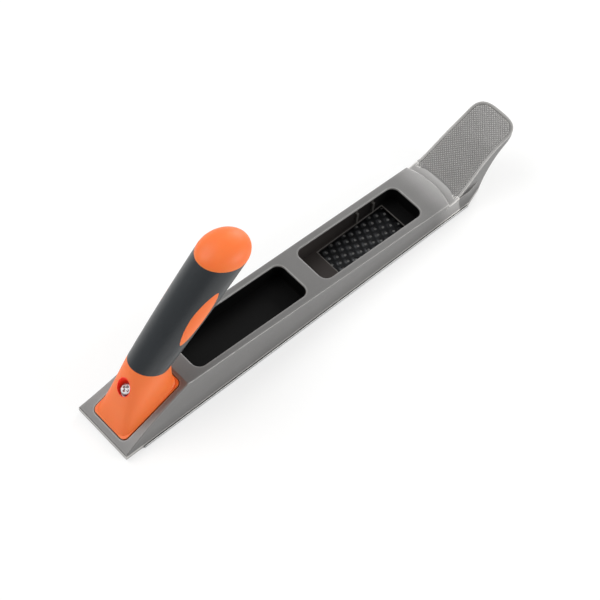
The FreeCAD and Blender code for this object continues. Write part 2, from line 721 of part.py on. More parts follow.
def make_handle_core():
    """Hard core: base in the seat's pocket, neck with the screw's counterbore, and the bar in the grip."""
    foot = rounded_outline(-base_length / 2, base_length / 2, base_width / 2, base_corner_radius,
                           seat_placement(-seat_pocket_depth + part_gap))
    foot = Part.Face(foot).extrude(seat_normal * (seat_pocket_depth + 3 * neck_base_rise))
    low = seat_point(pocket_centre_s, 0, neck_base_rise)
    sections = [oval_wire(low, seat_dir, base_length / 2, base_width / 2, 6.0)]
    half_along, half_across = grip_face(0.0)[1:]
    # two sections between base and grip: share of the way up, squareness, waist
    for share, power, pull in ((0.35, 4.0, 0.10), (0.7, 2.6, 0.06)):
        angle = math.radians(seat_angle * (1 - share) + (grip_face_angle_low - 90) * share)
        along = vec(math.cos(angle), 0, math.sin(angle))
        half_a = base_length / 2 * (1 - share) + half_along * share
        half_b = base_width / 2 * (1 - share) + half_across * share
        centre = low + (grip_start - low) * share
        sections.append(oval_wire(centre, along, half_a * (1 - pull), half_b * (1 - pull), power))
    sections.append(grip_section(0.0))
    neck = Part.makeLoft(sections, True)
    bar = grip_solid(grip_rubber + part_gap)
    core = foot.fuse([neck, bar])
    for side in (-1, 1):
        core = core.fuse(grip_solid(0.0).common(inlay_prism(side, 0.0)))
    floor = grip_start + handle_dir * core_bore_floor
    bore = Part.makeCylinder(core_bore_radius, grip_length, floor, handle_dir)
    core = core.cut([bore, seat_cylinder(counterbore_radius, counterbore_floor, THROUGH),
                     seat_cylinder(bush_radius + part_gap, -THROUGH, THROUGH)])
    return core.removeSplitter()


def make_grip_sleeve():
    """Soft rubber moulded over the core, open at both ends and round both inlays."""
    sleeve = grip_solid(0.0).cut(grip_solid(grip_rubber))
    return sleeve.cut([inlay_prism(-1, inlay_gap), inlay_prism(1, inlay_gap)])


def make_end_cap():
    """Domed cap that closes the grip, with a spigot in the core's bore."""
    dome = Part.makeSphere(1.0, vec(0, 0, 0), vec(0, 0, 1), 0, 90, 360)
    along, half_along, half_across = grip_face(grip_length)
    lean = math.radians(cap_lean_angle)
    e1, e2 = along * half_along, vec(0, half_across, 0)
    e3 = vec(math.cos(lean), 0, math.sin(lean)) * cap_height
    origin = grip_start + handle_dir * (grip_length + part_gap)
    matrix = FreeCAD.Matrix(e1.x, e2.x, e3.x, origin.x,
                            e1.y, e2.y, e3.y, origin.y,
                            e1.z, e2.z, e3.z, origin.z,
                            0, 0, 0, 1)
    dome = dome.transformGeometry(matrix)
    spigot_start = grip_start + handle_dir * (grip_length - cap_spigot_length)
    spigot = Part.makeCylinder(core_bore_radius - part_gap, cap_spigot_length + 4, spigot_start, handle_dir)
    return dome.fuse(spigot).removeSplitter()


def make_screw_bush():
    """Steel tube that carries the screw's load through the plastic neck."""
    bush = seat_cylinder(bush_radius, -seat_pocket_depth + part_gap, counterbore_floor)
    return bush.cut(seat_cylinder(handle_screw_radius + washer_gap, -THROUGH, THROUGH))


def make_handle_flat_washer():
    ring = seat_cylinder(flat_washer_radius, counterbore_floor, counterbore_floor + flat_washer_thickness)
    return ring.cut(seat_cylinder(handle_screw_radius + washer_gap, -THROUGH, THROUGH))


def make_handle_spring_washer():
    """Split ring under the head, pressed flat."""
    h0 = counterbore_floor + flat_washer_thickness
    ring = seat_cylinder(spring_washer_radius, h0, h0 + spring_washer_thickness)
    ring = ring.cut(seat_cylinder(handle_screw_radius + washer_gap, -THROUGH, THROUGH))
    split = Part.makeBox(spring_washer_split, spring_washer_radius + 1, spring_washer_thickness + 2,
                         vec(-spring_washer_split / 2, 0, -1))
    split.Placement = seat_placement(h0).multiply(split.Placement)
    return ring.cut(split)


def make_handle_screw():
    screw = seat_cylinder(handle_screw_radius, head_seat_h - handle_screw_length, head_seat_h)
    screw = screw.fuse(seat_cylinder(screw_head_radius, head_seat_h, head_seat_h + screw_head_height))
    face = seat_point(pocket_centre_s, 0, head_seat_h + screw_head_height)
    return screw.cut(cross_slots(face, seat_normal, 20.0))


PARTS = {
    "body_casting": make_body_casting,
    "rear_hook_plate": make_rear_hook_plate,
    "hook_plate_screws": make_hook_plate_screws,
    "handle_nut": make_handle_nut,
    "rasp_blade": make_rasp_blade,
    "tension_block": make_tension_block,
    "tension_screw": make_tension_screw,
    "tension_washer": make_tension_washer,
    "screw_retaining_ring": make_screw_retaining_ring,
    "handle_core": make_handle_core,
    "grip_sleeve": make_grip_sleeve,
    "end_cap": make_end_cap,
    "screw_bush": make_screw_bush,
    "handle_flat_washer": make_handle_flat_washer,
    "handle_spring_washer": make_handle_spring_washer,
    "handle_screw": make_handle_screw,
}

os.makedirs("parts", exist_ok=True)
for name, make in PARTS.items():
    shape = make()
    print(name, "valid" if shape.isValid() else "INVALID", "solids", len(shape.Solids),
          "volume", round(shape.Volume, 1))
    shape.exportStep("parts/" + name + ".step")
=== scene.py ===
import json
import math

import bmesh
import bpy
import numpy as np
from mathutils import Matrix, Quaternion, Vector
from mathutils.bvhtree import BVHTree


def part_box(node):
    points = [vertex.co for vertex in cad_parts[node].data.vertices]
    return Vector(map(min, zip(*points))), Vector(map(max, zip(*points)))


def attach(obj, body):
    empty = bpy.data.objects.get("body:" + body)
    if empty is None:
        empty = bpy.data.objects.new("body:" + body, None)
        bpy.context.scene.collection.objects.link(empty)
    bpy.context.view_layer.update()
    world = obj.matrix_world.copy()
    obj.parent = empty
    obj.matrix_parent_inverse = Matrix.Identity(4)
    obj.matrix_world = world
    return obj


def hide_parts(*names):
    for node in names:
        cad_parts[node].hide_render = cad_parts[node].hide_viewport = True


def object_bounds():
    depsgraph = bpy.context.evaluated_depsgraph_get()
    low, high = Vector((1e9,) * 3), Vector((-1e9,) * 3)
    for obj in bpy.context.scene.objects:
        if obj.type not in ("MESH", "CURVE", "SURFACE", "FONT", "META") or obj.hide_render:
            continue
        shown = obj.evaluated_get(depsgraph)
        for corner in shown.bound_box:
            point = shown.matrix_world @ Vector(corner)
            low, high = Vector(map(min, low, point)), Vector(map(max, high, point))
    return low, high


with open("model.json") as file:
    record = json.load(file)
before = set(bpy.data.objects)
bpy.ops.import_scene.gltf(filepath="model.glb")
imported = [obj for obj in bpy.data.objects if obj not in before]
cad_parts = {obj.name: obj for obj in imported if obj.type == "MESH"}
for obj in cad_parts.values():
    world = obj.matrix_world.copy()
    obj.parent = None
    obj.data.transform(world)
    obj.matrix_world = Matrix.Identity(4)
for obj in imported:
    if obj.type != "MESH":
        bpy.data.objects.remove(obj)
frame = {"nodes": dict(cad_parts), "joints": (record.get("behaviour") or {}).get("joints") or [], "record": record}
cad_low, cad_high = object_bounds()
MM = 0.001


# ---------------------------------------------------------------- camera
# Seen from above on the right-hand side of the heel, with the toe pointing away and the tool
# tilted up to the right by a small roll of the camera.
camera_place = Vector((-404.2, -358.6, 811.5)) * MM
camera_target = Vector((-6.6, -13.3, 20.0)) * MM
camera_roll = math.radians(7.43)
camera_lens = 102.94

camera_data = bpy.data.cameras.new("camera")
camera_data.lens = camera_lens
camera_data.sensor_width = 36.0
camera_data.clip_start = 0.05
camera_data.clip_end = 20.0
camera = bpy.data.objects.new("camera", camera_data)
aim = (camera_target - camera_place).to_track_quat("-Z", "Y")
camera.rotation_mode = "QUATERNION"
camera.rotation_quaternion = aim @ Quaternion((0, 0, 1), camera_roll)
camera.location = camera_place
bpy.context.scene.collection.objects.link(camera)
bpy.context.scene.camera = camera


# ---------------------------------------------------------------- floor and studio light
# A wide white light table lies just under the sole and glows, except in a box beneath the tool, where the
# glow is cut out as painted shade under the tool. One broad light hangs over the heel, one stands low beside
# the flank and one low past the toe. The room is white but for a dark strip low on the heel's side, which
# shows along the glossy grip.
floor_half = 6.0
floor_gap = 0.4 * MM
floor_white = "A8A8A7"
floor_glow = 0.62
floor_roughness = 0.9
floor_specular = 0.1
full_white = (1.0, 1.0, 1.0, 1.0)
shaded_under_x = (-126.0, 124.0)
shaded_under_y = (-18.5, 18.5)
shaded_under_soft = 2.0
sky_strength = 0.52
sky_dark = 0.10
dark_strip = (0.00, 0.30)
dark_strip_soft = 0.05
dark_strip_side = (-0.25, 0.35)


def rgb(code):
    """Linear colour from an sRGB hex code: each channel is raised by the sRGB curve."""
    channels = np.array([int(code[i:i + 2], 16) for i in (0, 2, 4)]) / 255
    linear = np.where(channels <= 0.04045, channels / 12.92, ((channels + 0.055) / 1.055) ** 2.4)
    return (*[float(c) for c in linear], 1.0)


def add(tree, kind, inputs=None, **settings):
    """Adds a shader node, sets its settings, and fills its inputs with values or other sockets."""
    made = tree.nodes.new(kind)
    for key, value in settings.items():
        setattr(made, key, value)
    for key, value in (inputs or {}).items():
        if isinstance(value, bpy.types.NodeSocket):
            tree.links.new(value, made.inputs[key])
        else:
            made.inputs[key].default_value = value
    return made


def maths(tree, operation, first, second=0.0, clamp=False):
    """Socket with the result of one arithmetic step on two numbers or sockets."""
    made = add(tree, "ShaderNodeMath", {0: first, 1: second}, operation=operation, use_clamp=clamp)
    return made.outputs["Value"]


def between(tree, value, low, high, soft):
    """Socket that is 1 where a value lies between two limits and fades to 0 over a soft edge."""
    rise = add(tree, "ShaderNodeMapRange", {"Value": value, "From Min": low - soft, "From Max": low + soft})
    fall = add(tree, "ShaderNodeMapRange", {"Value": value, "From Min": high - soft,
                                            "From Max": high + soft, "To Min": 1.0, "To Max": 0.0})
    return maths(tree, "MULTIPLY", rise.outputs["Result"], fall.outputs["Result"])


def new_material(name, base, roughness, metallic=0.0):
    """Material with one Principled shader. Returns the material, its node tree and the shader."""
    material = bpy.data.materials.new(name)
    material.use_nodes = True
    tree = material.node_tree
    shader = tree.nodes["Principled BSDF"]
    shader.inputs["Base Color"].default_value = rgb(base)
    shader.inputs["Roughness"].default_value = roughness
    shader.inputs["Metallic"].default_value = metallic
    return material, tree, shader


def new_piece(name, points, faces):
    """Object whose mesh has these points, in metres, and these faces."""
    mesh = bpy.data.meshes.new(name)
    mesh.from_pydata(points.tolist(), [], faces)
    mesh.update()
    made = bpy.data.objects.new(name, mesh)
    bpy.context.scene.collection.objects.link(made)
    return made


floor_corners = np.array([[-1, -1, 0], [1, -1, 0], [1, 1, 0], [-1, 1, 0]]) * floor_half
floor_corners[:, 2] = cad_low[2] - floor_gap
floor = new_piece("floor", floor_corners, [[0, 1, 2, 3]])
bpy.context.scene.view_settings.view_transform = "Standard"
floor_material, tree, shader = new_material("matt_white_paper", floor_white, floor_roughness)
shader.inputs["Specular IOR Level"].default_value = floor_specular
table_place = add(tree, "ShaderNodeSeparateXYZ",
                  {"Vector": add(tree, "ShaderNodeTexCoord").outputs["Object"]}).outputs
# Beneath the tool the floor's glow is cut out: painted shade under the tool, seen through the blade's openings.
shade_under_tool = maths(tree, "MULTIPLY",
                   between(tree, table_place["X"], *(edge * MM for edge in shaded_under_x), shaded_under_soft * MM),
                   between(tree, table_place["Y"], *(edge * MM for edge in shaded_under_y), shaded_under_soft * MM))
glow = add(tree, "ShaderNodeMapRange", {"Value": shade_under_tool, "To Min": floor_glow, "To Max": 0.0})
shader.inputs["Emission Color"].default_value = full_white
tree.links.new(glow.outputs["Result"], shader.inputs["Emission Strength"])
floor.data.materials.append(floor_material)

world = bpy.data.worlds.new("studio")
bpy.context.scene.world = world
world.use_nodes = True
tree = world.node_tree
sky_way = add(tree, "ShaderNodeSeparateXYZ",
              {"Vector": add(tree, "ShaderNodeTexCoord").outputs["Generated"]}).outputs
in_strip = between(tree, sky_way["Z"], *dark_strip, dark_strip_soft)
behind = add(tree, "ShaderNodeMapRange", {"Value": sky_way["X"], "From Min": dark_strip_side[0],
                                          "From Max": dark_strip_side[1], "To Min": 1.0, "To Max": 0.0})
dimmed = maths(tree, "MULTIPLY", in_strip, behind.outputs["Result"])
sky = add(tree, "ShaderNodeMapRange", {"Value": dimmed, "To Min": sky_strength, "To Max": sky_dark})
tree.nodes["Background"].inputs["Color"].default_value = full_white
tree.links.new(sky.outputs["Result"], tree.nodes["Background"].inputs["Strength"])


def soft_light(name, place, target, size, watts):
    """Square area light of this size in metres, aimed at a point."""
    data = bpy.data.lights.new(name, "AREA")
    data.size = size
    data.energy = watts
    lamp = bpy.data.objects.new(name, data)
    lamp.location = place
    lamp.rotation_mode = "QUATERNION"
    lamp.rotation_quaternion = (Vector(target) - Vector(place)).to_track_quat("-Z", "Y")
    bpy.context.scene.collection.objects.link(lamp)


soft_light("key_over_heel", (-0.75, 0.95, 1.40), (0.0, 0.0, 0.03), 1.5, 19.0)
soft_light("low_beside_flank", (0.62, -1.20, 0.62), (0.0, 0.0, 0.02), 0.7, 9.0)
soft_light("low_past_toe", (1.25, 0.55, 0.55), (0.05, 0.0, 0.02), 0.6, 7.0)


# ---------------------------------------------------------------- rasp blade
# A strip of spring steel, pierced in slanted rows and blackened; the black also stands in for the shade
# of the bays. Behind each opening the steel is pushed down into a tongue whose front edge cuts; sides and
# ends are folded up.
strip_sheet = 0.35
strip_middle_z = 0.62
tooth_tip_z = 0.19
tooth_row = np.array([4.375, -1.975])
tooth_column = np.array([1.534, 4.017])
tooth_limit = np.array([114.0, 17.0])
strip_half = np.array([125.0, 20.0])
flange_half_run = 124.6
tab_half_width = 7.5
fold_radius = 0.8
flange_top = 2.6
tab_top = 3.8
tooth_steps = 3
cells_each_way = 45
cell_margin = 6.0
opening_centre = np.array([0.45, 0.0])
opening_radii = np.array([0.80, 1.00])
scoop_centre = np.array([-0.20, 0.0])
scoop_radii = np.array([1.95, 1.65])
rim_pushed = 0.1
shoulder_pushed = 0.5
shoulder_rim_share = 0.42
scoop_highlight_and_rub = 0.33
flange_light_and_rub = 1.0
flange_light_from = 0.3
fold_arc_points = 5
weld_reach = 0.001
weld_folds = 0.005
on_border_reach = 0.002
station_decimals = 4
border_band = 0.01
blade_crease = 50.0


def tooth_cell():
    """One cell of the blade as four rings of points, from the cell's edge in to its opening.

    The outer ring walks round a parallelogram of one row step and one column step. The next ring is
    the scoop's flat rim, an ellipse; the last is the opening's edge, a smaller ellipse further
    forward; the third lies between them. Height falls from the sheet to the tooth's tip by half of
    one minus the cosine of the angle, so that only the rear of the opening is pushed down.
    """
    corners = [(-tooth_row - tooth_column) / 2, (tooth_row - tooth_column) / 2,
               (tooth_row + tooth_column) / 2, (tooth_column - tooth_row) / 2]
    share = np.arange(tooth_steps)[:, None] / tooth_steps
    outer = np.vstack([p + (q - p) * share for p, q in zip(corners, corners[1:] + corners[:1])])
    away = outer - opening_centre
    angle = np.arctan2(away[:, 1], away[:, 0])
    circle = np.stack([np.cos(angle), np.sin(angle)], 1)
    rim = scoop_centre + circle * scoop_radii
    edge = opening_centre + circle * opening_radii
    pushed = (1 - np.cos(angle)) / 2
    depth = np.stack([0 * pushed, rim_pushed * pushed, shoulder_pushed * pushed, pushed])
    shoulder = rim * shoulder_rim_share + edge * (1 - shoulder_rim_share)
    plan = np.stack([outer, rim, shoulder, edge])
    height = strip_middle_z + (tooth_tip_z - strip_middle_z) * depth
    return np.concatenate([plan, height[..., None]], 2), depth


cell, cell_depth = tooth_cell()
rings, around = cell_depth.shape
reach = np.arange(-cells_each_way, cells_each_way + 1)
steps = np.stack(np.meshgrid(reach, reach), -1).reshape(-1, 2) + 0.5
centres = steps[:, :1] * tooth_row + steps[:, 1:] * tooth_column
centres = centres[(np.abs(centres) < strip_half + cell_margin).all(1)]
pierced = (np.abs(centres) <= tooth_limit).all(1)
centres3 = np.concatenate([centres, np.zeros((len(centres), 1))], 1)
points = (cell.reshape(1, -1, 3) + centres3[:, None, :]).reshape(-1, 3)
ring_index = np.arange(rings - 1)[:, None] * around
turn = np.arange(around)[None, :]
after = (turn + 1) % around
quad = np.stack([ring_index + turn, ring_index + after, ring_index + around + after,
                 ring_index + around + turn], -1).reshape(-1, 4)
first = np.arange(len(centres)) * rings * around
quads = (quad[None] + first[pierced][:, None, None]).reshape(-1, 4)
plain = np.arange(around)[None] + first[~pierced][:, None]
blade = new_piece("rasp_strip", points * MM, quads.tolist() + plain.tolist())
lit_and_rubbed = blade.data.attributes.new("lit_and_rubbed", "FLOAT", "POINT")
# Tongues are lighter the deeper they are pushed: rubbed steel and a painted highlight together.
tongue_light_and_rub = scoop_highlight_and_rub * np.sqrt(cell_depth.ravel())
lit_and_rubbed.data.foreach_set("value", np.tile(tongue_light_and_rub, len(centres)).astype(np.float32))

sheet = bmesh.new()
sheet.from_mesh(blade.data)
bmesh.ops.delete(sheet, geom=[v for v in sheet.verts if not v.link_faces], context="VERTS")
bmesh.ops.remove_doubles(sheet, verts=sheet.verts, dist=weld_reach * MM)
for axis, limit in enumerate(strip_half * MM):
    for side in (-1, 1):
        normal = [0.0, 0.0, 0.0]
        normal[axis] = side
        everything = sheet.verts[:] + sheet.edges[:] + sheet.faces[:]
        bmesh.ops.bisect_plane(sheet, geom=everything, plane_co=[n * limit for n in normal],
                               plane_no=normal, clear_outer=True, dist=weld_reach * MM)
for axis, border, cut in ((0, strip_half[1], flange_half_run), (1, strip_half[0], tab_half_width)):
    for side in (-1, 1):
        normal = [0.0, 0.0, 0.0]
        normal[axis] = side
        outer_faces = [f for f in sheet.faces
                       if max(abs(v.co[1 - axis]) for v in f.verts) > (border - border_band) * MM]
        near = set(outer_faces)
        for f in outer_faces:
            near.update(f.edges)
            near.update(f.verts)
        bmesh.ops.bisect_plane(sheet, geom=list(near), plane_co=[n * cut * MM for n in normal],
                               plane_no=normal, dist=weld_reach * MM)
sheet.to_mesh(blade.data)
sheet.free()


def folded_edge(stations, along, border, top):
    """Fold of the strip's sheet along one border: a quarter circle, then straight up to the top.

    stations are places along the border; along is the axis that they run on, 0 for x and 1 for y;
    border is the signed place of the border on the other axis.
    """
    angle = np.linspace(0, math.pi / 2, fold_arc_points)
    out = np.append(fold_radius * np.sin(angle), fold_radius)
    up = np.append(strip_middle_z + fold_radius * (1 - np.cos(angle)), top)
    grid = np.zeros((len(stations), len(out), 3))
    grid[..., along] = stations[:, None]
    grid[..., 1 - along] = math.copysign(1, border) * (abs(border) + out)[None, :]
    grid[..., 2] = up[None, :]
    index = np.arange(grid.shape[0] * grid.shape[1]).reshape(grid.shape[:2])
    fold = np.stack([index[:-1, :-1], index[1:, :-1], index[1:, 1:], index[:-1, 1:]], -1).reshape(-1, 4)
    return grid.reshape(-1, 3), fold


flat = np.zeros(len(blade.data.vertices) * 3)
blade.data.vertices.foreach_get("co", flat)
flat = flat.reshape(-1, 3) / MM
all_points, all_faces = [], []
for along, border, run, top in ((0, strip_half[1], flange_half_run, flange_top),
                                (1, strip_half[0], tab_half_width, tab_top)):
    for side in (-1, 1):
        on_border = np.abs(flat[:, 1 - along] - side * border) < on_border_reach
        on_run = np.abs(flat[:, along]) < run + on_border_reach
        stations = np.unique(np.round(flat[on_border & on_run][:, along], station_decimals))
        fold_points, fold_faces = folded_edge(stations, along, side * border, top)
        all_faces.append(fold_faces + sum(len(p) for p in all_points))
        all_points.append(fold_points)
folds = new_piece("folds", np.vstack(all_points) * MM, np.vstack(all_faces).tolist())
joined = bmesh.new()
joined.from_mesh(blade.data)
joined.from_mesh(folds.data)
bmesh.ops.remove_doubles(joined, verts=joined.verts, dist=weld_folds * MM)
bmesh.ops.recalc_face_normals(joined, faces=joined.faces)
if sum(f.normal.z for f in joined.faces) < 0:
    bmesh.ops.reverse_faces(joined, faces=joined.faces)
lit_and_rubbed_layer = joined.verts.layers.float["lit_and_rubbed"]
# Folded sides and end tabs are made fully light: rubbed steel and painted light together.
flange_light_border = (strip_half + flange_light_from) * MM
for vert in joined.verts:
    if abs(vert.co.y) > flange_light_border[1] or abs(vert.co.x) > flange_light_border[0]:
        vert[lit_and_rubbed_layer] = flange_light_and_rub
joined.to_mesh(blade.data)
joined.free()
bpy.data.objects.remove(folds)
blade.data.shade_smooth()
blade.data.set_sharp_from_angle(angle=math.radians(blade_crease))
wall = blade.modifiers.new("sheet thickness", "SOLIDIFY")
wall.thickness = strip_sheet * MM
wall.offset = 0.0

# Blackened spring steel: a thin dark oxide with a blue cast and a faint rolled grain along the
# strip; the black is also painted shade, for the dark look of the steel in the shaded bays. The tongues, the
# folded sides and the end tabs are rubbed bright and painted lighter as lit steel, with a near-white painted
# highlight along each sheared top edge, and the black wears in patches.
black_oxide_and_shade = "0D0E10"
worn_oxide = "1A1C1F"
lit_and_rubbed_steel = "8B8D90"
painted_top_edge_highlight = "E2E2E0"
top_edge_highlight_from = 2.3
top_edge_highlight_soft = 0.08
rolled_grain = 0.6
grain_stretch = (0.06, 1.0, 1.0)
worn_patch = 9.0
patch_range = (0.45, 0.7)
oxide_roughness = 0.36
oxide_gloss = (0.34, 0.50)
oxide_metallic = 0.75
rubbed_metallic = 0.15
rubbed_from = 0.5
scratch_strength = 0.25
scratch_depth = 0.03
far_off = 1.0
blade_material, tree, shader = new_material("blackened_spring_steel_painted_light", black_oxide_and_shade, oxide_roughness,
                                            oxide_metallic)
coords = add(tree, "ShaderNodeTexCoord")
stretched = add(tree, "ShaderNodeMapping", {"Vector": coords.outputs["Object"], "Scale": grain_stretch})
grain = add(tree, "ShaderNodeTexNoise", {"Vector": stretched.outputs["Vector"],
                                         "Scale": 1 / (rolled_grain * MM), "Detail": 4.0})
patches = add(tree, "ShaderNodeTexNoise", {"Vector": coords.outputs["Object"],
                                           "Scale": 1 / (worn_patch * MM), "Detail": 5.0})
rubbed = add(tree, "ShaderNodeMapRange", {"Value": patches.outputs["Fac"], "From Min": patch_range[0],
                                          "From Max": patch_range[1]})
oxide = add(tree, "ShaderNodeMixRGB", {"Fac": rubbed.outputs["Result"], "Color1": rgb(black_oxide_and_shade),
                                       "Color2": rgb(worn_oxide)})
pushed = add(tree, "ShaderNodeAttribute", attribute_name="lit_and_rubbed")
# Above 2.3 mm, along the folded sides' top edges, the steel is near-white: a painted highlight.
height = add(tree, "ShaderNodeSeparateXYZ", {"Vector": coords.outputs["Object"]}).outputs["Z"]
top_edge_highlight = between(tree, height, top_edge_highlight_from * MM, far_off, top_edge_highlight_soft * MM)
bright = add(tree, "ShaderNodeMixRGB", {"Fac": top_edge_highlight, "Color1": rgb(lit_and_rubbed_steel),
                                        "Color2": rgb(painted_top_edge_highlight)})
# Black oxide, painted shade as well, gives way to lit, rubbed steel as the attribute rises.
steel = add(tree, "ShaderNodeMixRGB", {"Fac": pushed.outputs["Fac"], "Color1": oxide.outputs["Color"],
                                       "Color2": bright.outputs["Color"]})
gloss = add(tree, "ShaderNodeMapRange", {"Value": grain.outputs["Fac"], "To Min": oxide_gloss[0],
                                         "To Max": oxide_gloss[1]})
metal = add(tree, "ShaderNodeMapRange", {"Value": pushed.outputs["Fac"], "From Min": rubbed_from,
                                         "To Min": oxide_metallic, "To Max": rubbed_metallic})
scratch = add(tree, "ShaderNodeBump", {"Height": grain.outputs["Fac"], "Strength": scratch_strength,
                                       "Distance": scratch_depth * MM})
tree.links.new(steel.outputs["Color"], shader.inputs["Base Color"])
tree.links.new(gloss.outputs["Result"], shader.inputs["Roughness"])
tree.links.new(metal.outputs["Result"], shader.inputs["Metallic"])
tree.links.new(scratch.outputs["Normal"], shader.inputs["Normal"])
blade.data.materials.append(blade_material)
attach(blade, "blade")
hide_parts("rasp_blade")


# ---------------------------------------------------------------- body casting
# Pressure die-cast aluminium, shot-blasted and sprayed with satin grey paint. Its ridges, a band along the
# lower rail and the land all round just behind the groove are lightened as painted highlights, and the colour
# darkens towards the bottom. The two bays are painted near-black as painted shade, with painted highlights on
# two wall ribs and the window's edge.
paint_grey = "7C7B7A"
paint_shadow = "6E6D6C"
bay_shade_black = "0A0A0A"
bay_shade_grey = "474240"
bay_shade_gloss = 0.15
bay_edge_highlight = "8A8783"
orange_peel = 0.9
cast_grain = 0.22
heel_bay = (-81.0, 1.3)
toe_bay = (13.3, 92.6)
bay_half_width = 12.8
bay_lip = 1.1
window_middle = 57.3
window_half = (26.0, 11.2)
window_floor = 4.4
window_highlight_strength = 0.5
rib_highlight_strength = 0.25
wall_ribs = (63.1, 76.1)
rib_half = 0.9
darkening_top = 9.0
darkening_tone = 0.7
rail_highlight_heights = (2.2, 3.6)
rail_highlight_strength = 0.85
ridge_reach = 1.4
painted_highlight_grey = "D2D0CC"
ridge_highlight_strength = 0.5
highlight_rise = (96.0, 117.0)
highlight_end = 118.2
highlight_gain = 1.2
groove_x = (111.0, 119.6)
groove_half = 13.2
groove_soft = (0.5, 0.3)
top_at_origin = 20.04
top_slope = -0.0582
skin_weld = 0.002
skin_crease = 38.0
paint_roughness = 0.36
paint_metallic = 0.3
paint_drift = 26.0
paint_gloss = (0.31, 0.43)
paint_specular = 0.5
speck_range = (0.35, 0.65)
speck_tone = (0.93, 1.05)
ridge_range = (0.55, 0.92)
bay_shade_edge = 0.5
bay_shade_soft = (0.1, 0.05, 0.25)
bay_shade_fade = (10.0, 85.0)
bay_shade_dulling = 0.15
window_edge = (-0.2, 0.5, 0.08)
window_edge_height = (-0.5, 0.2, 0.05)
rib_soft = 0.05
ridge_samples = 8
rib_inset = 1.5
wall_soft = 0.03
darkening_from = 1.5
rail_highlight_soft = 0.15
highlight_soft = 0.2
peel_relief = (0.3, 0.05)
grain_relief = (0.35, 0.02)


def skin_copy(node, name, material, crease=skin_crease):
    """Copy of a CAD node's skin with its loose triangles joined, so that curves shade smoothly.

    Edges sharper than the crease angle, in degrees, stay sharp. The copy stands for the node.
    """
    mesh = frame["nodes"][node].data.copy()
    mesh.name = name
    if "custom_normal" in mesh.attributes:
        mesh.attributes.remove(mesh.attributes["custom_normal"])
    loose = bmesh.new()
    loose.from_mesh(mesh)
    bmesh.ops.remove_doubles(loose, verts=loose.verts, dist=skin_weld * MM)
    loose.to_mesh(mesh)
    loose.free()
    mesh.shade_smooth()
    mesh.set_sharp_from_angle(angle=math.radians(crease))
    mesh.materials.clear()
    mesh.materials.append(material)
    made = bpy.data.objects.new(name, mesh)
    bpy.context.scene.collection.objects.link(made)
    even = made.modifiers.new("even shading", "WEIGHTED_NORMAL")
    even.keep_sharp = True
    body = next(b for b, members in frame["record"]["behaviour"]["bodies"].items() if node in members)
    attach(made, body)
    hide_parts(node)
    return made


